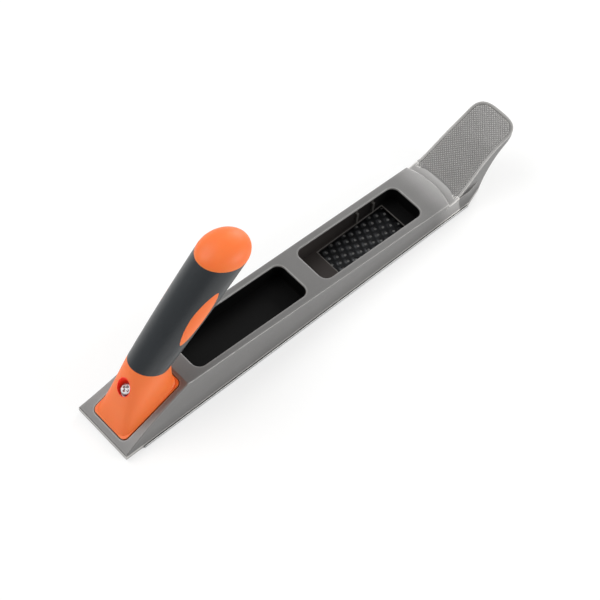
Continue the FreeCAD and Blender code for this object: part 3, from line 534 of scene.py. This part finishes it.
def satin_paint(name, shaded_bays):
    """Satin grey paint over a blasted casting, lightened on convex edges as a painted highlight.

    The second argument adds painted shade inside the bays with highlights on ribs and window edge, painted
    highlights along the lower rail and near the groove, and darkening towards the bottom.
    """
    material, tree, shader = new_material(name, paint_grey, paint_roughness, paint_metallic)
    coords = add(tree, "ShaderNodeTexCoord").outputs["Object"]
    drift = add(tree, "ShaderNodeTexNoise", {"Vector": coords, "Scale": 1 / (paint_drift * MM),
                                             "Detail": 3.0})
    colour = add(tree, "ShaderNodeMixRGB", {"Fac": drift.outputs["Fac"], "Color1": rgb(paint_shadow),
                                            "Color2": rgb(paint_grey)}).outputs["Color"]
    peel = add(tree, "ShaderNodeTexNoise", {"Vector": coords, "Scale": 1 / (orange_peel * MM),
                                            "Detail": 2.0})
    grain = add(tree, "ShaderNodeTexNoise", {"Vector": coords, "Scale": 1 / (cast_grain * MM),
                                             "Detail": 3.0})
    speck = add(tree, "ShaderNodeMapRange", {"Value": grain.outputs["Fac"], "From Min": speck_range[0],
                                             "From Max": speck_range[1], "To Min": speck_tone[0],
                                             "To Max": speck_tone[1]})
    colour = add(tree, "ShaderNodeMixRGB", {"Fac": 1.0, "Color1": colour,
                                            "Color2": speck.outputs["Result"]},
                 blend_type="MULTIPLY").outputs["Color"]
    gloss = add(tree, "ShaderNodeMapRange", {"Value": peel.outputs["Fac"], "To Min": paint_gloss[0],
                                             "To Max": paint_gloss[1]})
    roughness = gloss.outputs["Result"]
    # Convex edges and ridges, found by short inside occlusion, are lightened as a painted highlight; not in the
    # groove.
    ridge = add(tree, "ShaderNodeAmbientOcclusion", {"Distance": ridge_reach * MM}, inside=True,
                only_local=True, samples=ridge_samples)
    ridge_highlight = add(tree, "ShaderNodeMapRange", {"Value": ridge.outputs["AO"], "From Min": ridge_range[0],
                                            "From Max": ridge_range[1], "To Min": ridge_highlight_strength,
                                            "To Max": 0.0})
    place = add(tree, "ShaderNodeSeparateXYZ", {"Vector": coords})
    x, y, z = (place.outputs[axis] for axis in ("X", "Y", "Z"))
    away = maths(tree, "ABSOLUTE", y)
    groove = maths(tree, "MULTIPLY",
                   between(tree, x, groove_x[0] * MM, groove_x[1] * MM, groove_soft[0] * MM),
                   between(tree, away, -MM, groove_half * MM, groove_soft[1] * MM))
    ridge_highlight_off_groove = maths(tree, "MULTIPLY", ridge_highlight.outputs["Result"], maths(tree, "SUBTRACT", 1.0, groove))
    colour = add(tree, "ShaderNodeMixRGB", {"Fac": ridge_highlight_off_groove, "Color1": colour,
                                            "Color2": rgb(painted_highlight_grey)}).outputs["Color"]
    # Inside the bays the paint gives way to painted shade: near-black, lighter grey at the heel end of the toe
    # bay, with painted highlights on two wall ribs and the window's edge.
    if shaded_bays:
        top = maths(tree, "MULTIPLY_ADD", x, top_slope)
        top.node.inputs[2].default_value = top_at_origin * MM
        under = maths(tree, "SUBTRACT", top, z)
        inside = maths(tree, "MULTIPLY",
                       between(tree, away, -MM, (bay_half_width + bay_shade_edge) * MM, bay_shade_soft[1] * MM),
                       between(tree, under, bay_lip * MM, far_off, bay_shade_soft[2] * MM))
        heel, toe = (between(tree, x, (bay[0] - bay_shade_edge) * MM, (bay[1] + bay_shade_edge) * MM,
                             bay_shade_soft[0] * MM) for bay in (heel_bay, toe_bay))
        bay_shade_depth = add(tree, "ShaderNodeMapRange", {"Value": x, "From Min": bay_shade_fade[0] * MM,
                                                "From Max": bay_shade_fade[1] * MM})
        bay_shade = add(tree, "ShaderNodeMixRGB", {"Fac": bay_shade_depth.outputs["Result"], "Color1": rgb(bay_shade_grey),
                                                "Color2": rgb(bay_shade_black)}).outputs["Color"]
        bay_shade = add(tree, "ShaderNodeMixRGB", {"Fac": heel, "Color1": bay_shade,
                                                "Color2": rgb(bay_shade_black)}).outputs["Color"]
        from_middle = maths(tree, "ABSOLUTE", maths(tree, "SUBTRACT", x, window_middle * MM))
        past = maths(tree, "MAXIMUM", maths(tree, "SUBTRACT", from_middle, window_half[0] * MM),
                     maths(tree, "SUBTRACT", away, window_half[1] * MM))
        edge = maths(tree, "MULTIPLY", between(tree, past, *(limit * MM for limit in window_edge)),
                     between(tree, z, (window_floor + window_edge_height[0]) * MM,
                             (window_floor + window_edge_height[1]) * MM, window_edge_height[2] * MM))
        ribs = 0.0
        for rib_x in wall_ribs:
            ribs = maths(tree, "ADD", between(tree, x, (rib_x - rib_half) * MM, (rib_x + rib_half) * MM,
                                              rib_soft * MM), ribs)
        on_wall = between(tree, away, (bay_half_width - rib_inset) * MM, far_off, wall_soft * MM)
        shown = maths(tree, "ADD", maths(tree, "MULTIPLY", edge, window_highlight_strength),
                      maths(tree, "MULTIPLY", maths(tree, "MULTIPLY", ribs, on_wall), rib_highlight_strength), clamp=True)
        bay_shade = add(tree, "ShaderNodeMixRGB", {"Fac": shown, "Color1": bay_shade,
                                                "Color2": rgb(bay_edge_highlight)}).outputs["Color"]
        # The colour darkens towards the bottom of the casting, from 9 mm down to 1.5 mm.
        darker_low = add(tree, "ShaderNodeMapRange", {"Value": z, "From Min": darkening_from * MM,
                                                 "From Max": darkening_top * MM, "To Min": darkening_tone,
                                                 "To Max": 1.0}).outputs["Result"]
        colour = add(tree, "ShaderNodeMixRGB", {"Fac": 1.0, "Color1": colour, "Color2": darker_low},
                     blend_type="MULTIPLY").outputs["Color"]
        # A lighter band 2.2 to 3.6 mm up is a painted highlight along the casting's lower edge; it also lifts the
        # shade in the gap above the blade's folded side.
        rail_highlight_band = between(tree, z, rail_highlight_heights[0] * MM, rail_highlight_heights[1] * MM, rail_highlight_soft * MM)
        rail_highlight = maths(tree, "MULTIPLY", rail_highlight_band, rail_highlight_strength)
        colour = add(tree, "ShaderNodeMixRGB", {"Fac": rail_highlight, "Color1": colour,
                                                "Color2": rgb(painted_highlight_grey)}).outputs["Color"]
        # The colour brightens towards the groove's arc, all round the casting: a painted highlight on the land
        # before the groove.
        toward = add(tree, "ShaderNodeMapRange", {"Value": x, "From Min": highlight_rise[0] * MM,
                                                  "From Max": highlight_rise[1] * MM, "To Max": highlight_gain},
                     interpolation_type="SMOOTHSTEP")
        before_groove = between(tree, x, -far_off, highlight_end * MM, highlight_soft * MM)
        land_highlight = maths(tree, "ADD", maths(tree, "MULTIPLY", toward.outputs["Result"], before_groove), 1.0)
        colour = add(tree, "ShaderNodeMixRGB", {"Fac": 1.0, "Color1": colour, "Color2": land_highlight},
                     blend_type="MULTIPLY").outputs["Color"]
        bay_shade_area = maths(tree, "MULTIPLY", inside, maths(tree, "ADD", heel, toe, clamp=True))
        colour = add(tree, "ShaderNodeMixRGB", {"Fac": bay_shade_area, "Color1": colour,
                                                "Color2": bay_shade}).outputs["Color"]
        roughness = maths(tree, "ADD", roughness, maths(tree, "MULTIPLY", bay_shade_area, bay_shade_dulling))
        dulled = add(tree, "ShaderNodeMapRange", {"Value": bay_shade_area, "To Min": paint_specular,
                                                  "To Max": bay_shade_gloss})
        tree.links.new(dulled.outputs["Result"], shader.inputs["Specular IOR Level"])
    relief = add(tree, "ShaderNodeBump", {"Height": peel.outputs["Fac"], "Strength": peel_relief[0],
                                          "Distance": peel_relief[1] * MM})
    fine = add(tree, "ShaderNodeBump", {"Height": grain.outputs["Fac"], "Strength": grain_relief[0],
                                        "Distance": grain_relief[1] * MM,
                                        "Normal": relief.outputs["Normal"]})
    tree.links.new(colour, shader.inputs["Base Color"])
    tree.links.new(roughness, shader.inputs["Roughness"])
    tree.links.new(fine.outputs["Normal"], shader.inputs["Normal"])
    return material


skin_copy("body_casting", "casting_painted", satin_paint("satin_grey_casting_paint_and_painted_light", True))


# ---------------------------------------------------------------- knurled thumb rest
# The panel between the thumb rest's rim and the groove is cast with a fine diamond knurl, so that
# the forward hand doesn't slip. It follows the rest's upswept curve.
panel_start = 118.9
panel_sagitta = 3.9
panel_rim = 1.5
panel_skirt = 0.35
knurl_pitch = 1.3
knurl_height = 0.33
knurl_floor = 0.03
panel_columns = 300
panel_rows = 150
probe_count = 90
probe_lead = 1.5
probe_end_gap = 0.05
probe_side = 12.2
probe_lift = 0.25
probe_height = 5.0
width_known_from = 0.4
panel_start_gap = 0.15
panel_end_gap = 0.1
panel_side_gap = 0.12
arc_share = 0.8
skirt_dip = 0.2
crest_tone = (1.05, 2.4)

casting_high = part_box("body_casting")[1]
casting = bmesh.new()
casting.from_mesh(frame["nodes"]["body_casting"].data)
casting_skin = BVHTree.FromBMesh(casting)
casting.free()


def hit(origin, direction, axis):
    """Place on one axis, in millimetres, where a ray from a point in millimetres meets the casting."""
    place = casting_skin.ray_cast(Vector(origin) * MM, Vector(direction))[0]
    return place[axis] / MM if place else math.nan


panel_end = casting_high.x / MM - panel_rim
roof = casting_high.z / MM + probe_height
stations = np.linspace(panel_start - probe_lead, panel_end - probe_end_gap, probe_count)
middle = np.array([hit((x, 0.0, roof), (0, 0, -1), 2) for x in stations])
beside = np.array([hit((x, probe_side, roof), (0, 0, -1), 2) for x in stations])
panel_floor = np.fmin(middle, beside)
half_widths = np.array([hit((x, 0.0, z + probe_lift), (0, 1, 0), 1)
                        for x, z in zip(stations, panel_floor)])
known = ~np.isnan(half_widths) & (stations > panel_start + width_known_from)
travel = np.concatenate([[0], np.cumsum(np.hypot(np.diff(stations), np.diff(panel_floor)))])


def knurled_surface():
    """Grid over the panel: rows run from the groove's arc to the tip, columns from side to side.

    The plan fills the recess between its side walls. Each point is lifted out of the recess's floor,
    along the floor's own normal, by a pyramid knurl: the lower of two triangle waves that run
    diagonally, one each way, over the distance along the curve and the distance across. A skirt
    round the border dips the grid just under the floor.
    """
    u = np.linspace(0, 1, panel_columns)[:, None]
    v = np.linspace(-1, 1, panel_rows)[None, :]
    start = panel_start + panel_start_gap - panel_sagitta * v ** 2 * arc_share
    end = panel_end - panel_end_gap
    x = start + (end - start) * u
    half = np.interp(x, stations[known], half_widths[known]) - panel_side_gap
    y = v * half
    floor_z = np.interp(x, stations, panel_floor)
    along = np.interp(x, stations, travel)
    slope = np.gradient(panel_floor, stations)
    tilt = np.arctan(np.interp(x, stations, slope))
    diagonal = knurl_pitch * math.sqrt(2)
    waves = [1 - np.abs(2 * np.mod((along + side * y) / diagonal, 1) - 1) for side in (-1, 1)]
    pyramid = np.minimum(*waves)
    border = np.minimum(np.minimum(half - np.abs(y), end - x), x - start)
    inner = np.clip(border / panel_skirt, 0, 1)
    lift = inner * (knurl_floor + knurl_height * pyramid) - (1 - inner) * skirt_dip
    grid = np.stack([x - lift * np.sin(tilt), y, floor_z + lift * np.cos(tilt)], -1)
    return grid, pyramid * inner


panel_grid, panel_relief = knurled_surface()
index = np.arange(panel_columns * panel_rows).reshape(panel_columns, panel_rows)
panel_faces = np.stack([index[:-1, :-1], index[1:, :-1], index[1:, 1:], index[:-1, 1:]], -1).reshape(-1, 4)
panel = new_piece("knurled_panel", panel_grid.reshape(-1, 3) * MM, panel_faces.tolist())
crest = panel.data.attributes.new("crest", "FLOAT", "POINT")
crest.data.foreach_set("value", panel_relief.ravel().astype(np.float32))
panel_paint = satin_paint("satin_grey_knurl_paint_and_painted_light", False)
panel_tree = panel_paint.node_tree
panel_shader = panel_tree.nodes["Principled BSDF"]
painted = panel_shader.inputs["Base Color"].links[0].from_socket
# The knurl's crests are coloured lighter than its hollows, up to 2.4 times.
crest_height = add(panel_tree, "ShaderNodeAttribute", attribute_name="crest")
crest_lightening = add(panel_tree, "ShaderNodeMapRange", {"Value": crest_height.outputs["Fac"],
                                                   "To Min": crest_tone[0], "To Max": crest_tone[1]})
crests_lighter = add(panel_tree, "ShaderNodeMixRGB", {"Fac": 1.0, "Color1": painted,
                                            "Color2": crest_lightening.outputs["Result"]},
           blend_type="MULTIPLY")
panel_tree.links.new(crests_lighter.outputs["Color"], panel_shader.inputs["Base Color"])
panel.data.materials.append(panel_paint)
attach(panel, "body")


# ---------------------------------------------------------------- hook plate, clamp and fasteners
# Small steel parts. The plate, block and bush are barrel zinc plated, the screws, nut and washers
# are bright zinc plated, and the split ring and spring washer are black oiled spring steel.
handling_mark = 0.25
mark_gloss = (-0.06, 0.08)
mark_relief = (0.3, 0.02)


def plated_steel(name, base, tint, roughness, cloud):
    """Zinc plate over turned or pressed steel: cloudy colour, fine grain and small handling marks."""
    material, tree, shader = new_material(name, base, roughness, 1.0)
    coords = add(tree, "ShaderNodeTexCoord").outputs["Object"]
    clouds = add(tree, "ShaderNodeTexNoise", {"Vector": coords, "Scale": 1 / (cloud * MM),
                                              "Detail": 3.0})
    colour = add(tree, "ShaderNodeMixRGB", {"Fac": clouds.outputs["Fac"], "Color1": rgb(base),
                                            "Color2": rgb(tint)})
    marks = add(tree, "ShaderNodeTexNoise", {"Vector": coords, "Scale": 1 / (handling_mark * MM),
                                             "Detail": 4.0})
    gloss = add(tree, "ShaderNodeMapRange", {"Value": marks.outputs["Fac"],
                                             "To Min": roughness + mark_gloss[0],
                                             "To Max": roughness + mark_gloss[1]})
    bump = add(tree, "ShaderNodeBump", {"Height": marks.outputs["Fac"], "Strength": mark_relief[0],
                                        "Distance": mark_relief[1] * MM})
    tree.links.new(colour.outputs["Color"], shader.inputs["Base Color"])
    tree.links.new(gloss.outputs["Result"], shader.inputs["Roughness"])
    tree.links.new(bump.outputs["Normal"], shader.inputs["Normal"])
    return material


bright_zinc = plated_steel("bright_zinc_plated_steel", "B4B4B2", "9C9FA5", 0.42, 2.5)
dull_zinc = plated_steel("barrel_zinc_plated_steel", "B9BABA", "A6A494", 0.40, 4.0)
oiled_steel = plated_steel("oiled_spring_steel", "3A3C40", "2A2C30", 0.34, 2.0)
for node, name, slot, finish in (
        ("rear_hook_plate", "hook_plate_plated", "zinc_steel", dull_zinc),
        ("hook_plate_screws", "hook_screws_plated", "fastener_steel", bright_zinc),
        ("tension_block", "tension_block_plated", "zinc_steel", dull_zinc),
        ("tension_washer", "tension_washer_plated", "fastener_steel", bright_zinc),
        ("screw_retaining_ring", "retaining_ring_oiled", "spring_steel", oiled_steel),
        ("handle_nut", "handle_nut_plated", "fastener_steel", bright_zinc),
        ("screw_bush", "screw_bush_plated", "zinc_steel", dull_zinc),
        ("handle_flat_washer", "flat_washer_plated", "fastener_steel", bright_zinc),
        ("handle_spring_washer", "spring_washer_oiled", "spring_steel", oiled_steel)):
    skin_copy(node, name, finish)


# ---------------------------------------------------------------- handle screw and clamp screw
# Two M4 cheese-head screws, cold-formed with a cross recess and a rolled thread, then zinc plated.
# Each turns about its own axis, and the clamp screw has a groove for its retaining ring.
head_radius = 3.3
head_round = 0.5
head_dome = 0.25
recess_arm = 2.1
recess_width = 1.1
recess_depth = 0.8
shank_radius = 1.98
thread_pitch = 0.7
thread_depth = 0.38
plain_shank = 9.0
ring_groove = (6.9, 7.8)
ring_groove_radius = 1.5
screw_turns = 64
face_rings = 26
rim_rings = 6
rings_a_pitch = 5
arm_soft = 0.15
arm_fall = 1.25
tip_chamfer = 0.6
past_shank = 0.5
screw_crease = 45.0


def turned_screw(node, name, body, turn_joint, grooved):
    """Screw on its joint's axis, as a radius over the distance along the axis and the angle round it.

    The head's face is a low dome, sunk along a cross whose arms get shallower outwards; a quarter
    circle rounds its rim. The shank's radius is a triangle wave of distance minus one pitch a turn,
    which winds the thread, faded in after the plain part.
    """
    joint = next(j for j in frame["joints"] if j["name"] == turn_joint)
    axis = np.array(joint["axis"], float)
    axis /= np.linalg.norm(axis)
    origin = np.array(joint["pos_m"], float) / MM
    skin = np.array([v.co for v in frame["nodes"][node].data.vertices], float) / MM
    reach_along = (skin - origin) @ axis
    from_axis = np.linalg.norm(skin - origin - reach_along[:, None] * axis, axis=1)
    face, tail = reach_along.max(), reach_along.min()
    seat = reach_along[from_axis > shank_radius + past_shank].min()
    side = np.cross(axis, (0.0, 1.0, 0.0))
    side /= np.linalg.norm(side)
    other = np.cross(axis, side)
    turn = np.linspace(0, 2 * math.pi, screw_turns, endpoint=False)[None, :]
    flat_radius = np.linspace(0, head_radius - head_round, face_rings)[:, None]
    across, up = flat_radius * np.cos(turn), flat_radius * np.sin(turn)
    narrow = np.minimum(np.abs(across), np.abs(up))
    wide = np.maximum(np.abs(across), np.abs(up))
    in_arm = np.clip((recess_width / 2 - narrow) / arm_soft + 1 / 2, 0, 1)
    sink = recess_depth * in_arm * np.clip(arm_fall * (1 - (wide / recess_arm) ** 2), 0, 1)
    dome = head_dome * (flat_radius / head_radius) ** 2
    face_height = face - dome - sink
    rounding = np.linspace(0, math.pi / 2, rim_rings)[1:, None]
    rim_radius = head_radius - head_round + head_round * np.sin(rounding) + 0 * turn
    rim_height = face - head_dome - head_round * (1 - np.cos(rounding)) + 0 * turn
    shank_rings = int((seat - tail) / thread_pitch * rings_a_pitch)
    shank = np.linspace(seat, tail + tip_chamfer, shank_rings)[:, None]
    depth_in = seat - shank
    wave = 1 - np.abs(2 * np.mod(shank / thread_pitch - turn / (2 * math.pi), 1) - 1)
    started = np.clip(depth_in - plain_shank, 0, 1)
    threaded = shank_radius - thread_depth * wave * started
    if grooved:
        in_groove = (depth_in > ring_groove[0]) & (depth_in < ring_groove[1])
        threaded = np.where(in_groove, ring_groove_radius, threaded)
    radius = np.vstack([flat_radius + 0 * turn, rim_radius, np.full_like(turn, head_radius), threaded,
                        np.full_like(turn, shank_radius - tip_chamfer), 0 * turn])
    height = np.vstack([face_height, rim_height, np.full_like(turn, seat), shank + 0 * turn,
                        np.full_like(turn, tail), np.full_like(turn, tail)])
    points = (origin + height[..., None] * axis + (radius * np.cos(turn))[..., None] * side
              + (radius * np.sin(turn))[..., None] * other)
    rows = radius.shape[0]
    index = np.arange(rows * screw_turns).reshape(rows, screw_turns)
    ahead = np.roll(index, -1, axis=1)
    quads = np.stack([index[:-1], index[1:], ahead[1:], ahead[:-1]], -1).reshape(-1, 4)
    made = new_piece(name, points.reshape(-1, 3) * MM, quads.tolist())
    closed = bmesh.new()
    closed.from_mesh(made.data)
    bmesh.ops.remove_doubles(closed, verts=closed.verts, dist=weld_reach * MM)
    bmesh.ops.recalc_face_normals(closed, faces=closed.faces)
    closed.to_mesh(made.data)
    closed.free()
    made.data.shade_smooth()
    made.data.set_sharp_from_angle(angle=math.radians(screw_crease))
    made.data.materials.append(bright_zinc)
    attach(made, body)
    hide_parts(node)


turned_screw("tension_screw", "clamp_screw_turned", "clamp_screw", "clamp_screw_turn", True)
turned_screw("handle_screw", "handle_screw_turned", "handle_fixing_screw", "handle_screw_turn", False)


# ---------------------------------------------------------------- handle core and cap
# One hard orange moulding forms the base, the neck, the bar inside the grip and the two leaf-shaped
# inlays; the domed cap is the same plastic, pushed into the core's bore.
orange = "FA7C36"
orange_deep = "F67432"
spark_grain = 0.35
flow = 14.0
counterbore_painted_red = "F0341E"
counterbore_painted_glow = 0.22
bore_reach = 4.7
bore_soft = 0.1
plastic_roughness = 0.34
plastic_gloss = (0.42, 0.52)
plastic_specular = 0.45
light_share_inside = 0.3
light_spread = (1.0, 0.22, 0.1)
light_depth = 2.5
spark_relief = (0.25, 0.02)
cap_crease = 60.0


def satin_orange_plastic():
    """Moulded polypropylene: even orange with a faint flow drift and a fine spark-eroded grain.

    Inside the screw's counterbore the walls are painted deep red with a faint painted glow, for the red
    shade there; light also comes through the plastic.
    """
    material, tree, shader = new_material("satin_orange_polypropylene", orange, plastic_roughness)
    shader.inputs["Specular IOR Level"].default_value = plastic_specular
    shader.inputs["Subsurface Weight"].default_value = light_share_inside
    shader.inputs["Subsurface Radius"].default_value = light_spread
    shader.inputs["Subsurface Scale"].default_value = light_depth * MM
    coords = add(tree, "ShaderNodeTexCoord").outputs["Object"]
    drift = add(tree, "ShaderNodeTexNoise", {"Vector": coords, "Scale": 1 / (flow * MM), "Detail": 2.0})
    colour = add(tree, "ShaderNodeMixRGB", {"Fac": drift.outputs["Fac"], "Color1": rgb(orange),
                                            "Color2": rgb(orange_deep)})
    grain = add(tree, "ShaderNodeTexNoise", {"Vector": coords, "Scale": 1 / (spark_grain * MM),
                                             "Detail": 2.0})
    gloss = add(tree, "ShaderNodeMapRange", {"Value": grain.outputs["Fac"], "To Min": plastic_gloss[0],
                                             "To Max": plastic_gloss[1]})
    bump = add(tree, "ShaderNodeBump", {"Height": grain.outputs["Fac"], "Strength": spark_relief[0],
                                        "Distance": spark_relief[1] * MM})
    joint = next(j for j in frame["joints"] if j["name"] == "handle_screw_turn")
    offset = add(tree, "ShaderNodeVectorMath", {0: coords, 1: tuple(joint["pos_m"])}, operation="SUBTRACT")
    cross = add(tree, "ShaderNodeVectorMath", {0: offset.outputs["Vector"], 1: tuple(joint["axis"])},
                operation="CROSS_PRODUCT")
    from_axis = add(tree, "ShaderNodeVectorMath", {0: cross.outputs["Vector"]}, operation="LENGTH")
    # Within 4.7 mm of the screw's axis the plastic is painted deep red with a faint glow: painted shade and
    # painted light in the counterbore.
    in_bore = between(tree, from_axis.outputs["Value"], -MM, bore_reach * MM, bore_soft * MM)
    colour = add(tree, "ShaderNodeMixRGB", {"Fac": in_bore, "Color1": colour.outputs["Color"],
                                            "Color2": rgb(counterbore_painted_red)})
    shader.inputs["Emission Color"].default_value = rgb(counterbore_painted_red)
    tree.links.new(maths(tree, "MULTIPLY", in_bore, counterbore_painted_glow), shader.inputs["Emission Strength"])
    tree.links.new(colour.outputs["Color"], shader.inputs["Base Color"])
    tree.links.new(gloss.outputs["Result"], shader.inputs["Roughness"])
    tree.links.new(bump.outputs["Normal"], shader.inputs["Normal"])
    return material


orange_plastic = satin_orange_plastic()
skin_copy("handle_core", "handle_core_moulded", orange_plastic)
skin_copy("end_cap", "end_cap_moulded", orange_plastic, crease=cap_crease)


# ---------------------------------------------------------------- grip sleeve
# Soft charcoal rubber moulded over the core. Its skin has a fine stipple that scatters light, and a
# faint lighter bloom in patches all over.
rubber = "23272A"
rubber_bloom = "2A2E32"
stipple = 0.45
bloom_patch = 16.0
rubber_roughness = 0.5
rubber_gloss = (0.30, 0.38)
rubber_specular = 0.5
rubber_sheen = 0.06
stipple_relief = (0.2, 0.02)


def charcoal_rubber():
    """Thermoplastic rubber: charcoal with a faint lighter bloom and a stippled skin."""
    material, tree, shader = new_material("charcoal_soft_grip_rubber", rubber, rubber_roughness)
    shader.inputs["Specular IOR Level"].default_value = rubber_specular
    shader.inputs["Sheen Weight"].default_value = rubber_sheen
    coords = add(tree, "ShaderNodeTexCoord").outputs["Object"]
    bloom = add(tree, "ShaderNodeTexNoise", {"Vector": coords, "Scale": 1 / (bloom_patch * MM),
                                             "Detail": 4.0})
    colour = add(tree, "ShaderNodeMixRGB", {"Fac": bloom.outputs["Fac"], "Color1": rgb(rubber),
                                            "Color2": rgb(rubber_bloom)})
    dots = add(tree, "ShaderNodeTexNoise", {"Vector": coords, "Scale": 1 / (stipple * MM), "Detail": 1.0})
    gloss = add(tree, "ShaderNodeMapRange", {"Value": bloom.outputs["Fac"], "To Min": rubber_gloss[0],
                                             "To Max": rubber_gloss[1]})
    bump = add(tree, "ShaderNodeBump", {"Height": dots.outputs["Fac"], "Strength": stipple_relief[0],
                                        "Distance": stipple_relief[1] * MM})
    tree.links.new(colour.outputs["Color"], shader.inputs["Base Color"])
    tree.links.new(gloss.outputs["Result"], shader.inputs["Roughness"])
    tree.links.new(bump.outputs["Normal"], shader.inputs["Normal"])
    return material


skin_copy("grip_sleeve", "grip_sleeve_moulded", charcoal_rubber())
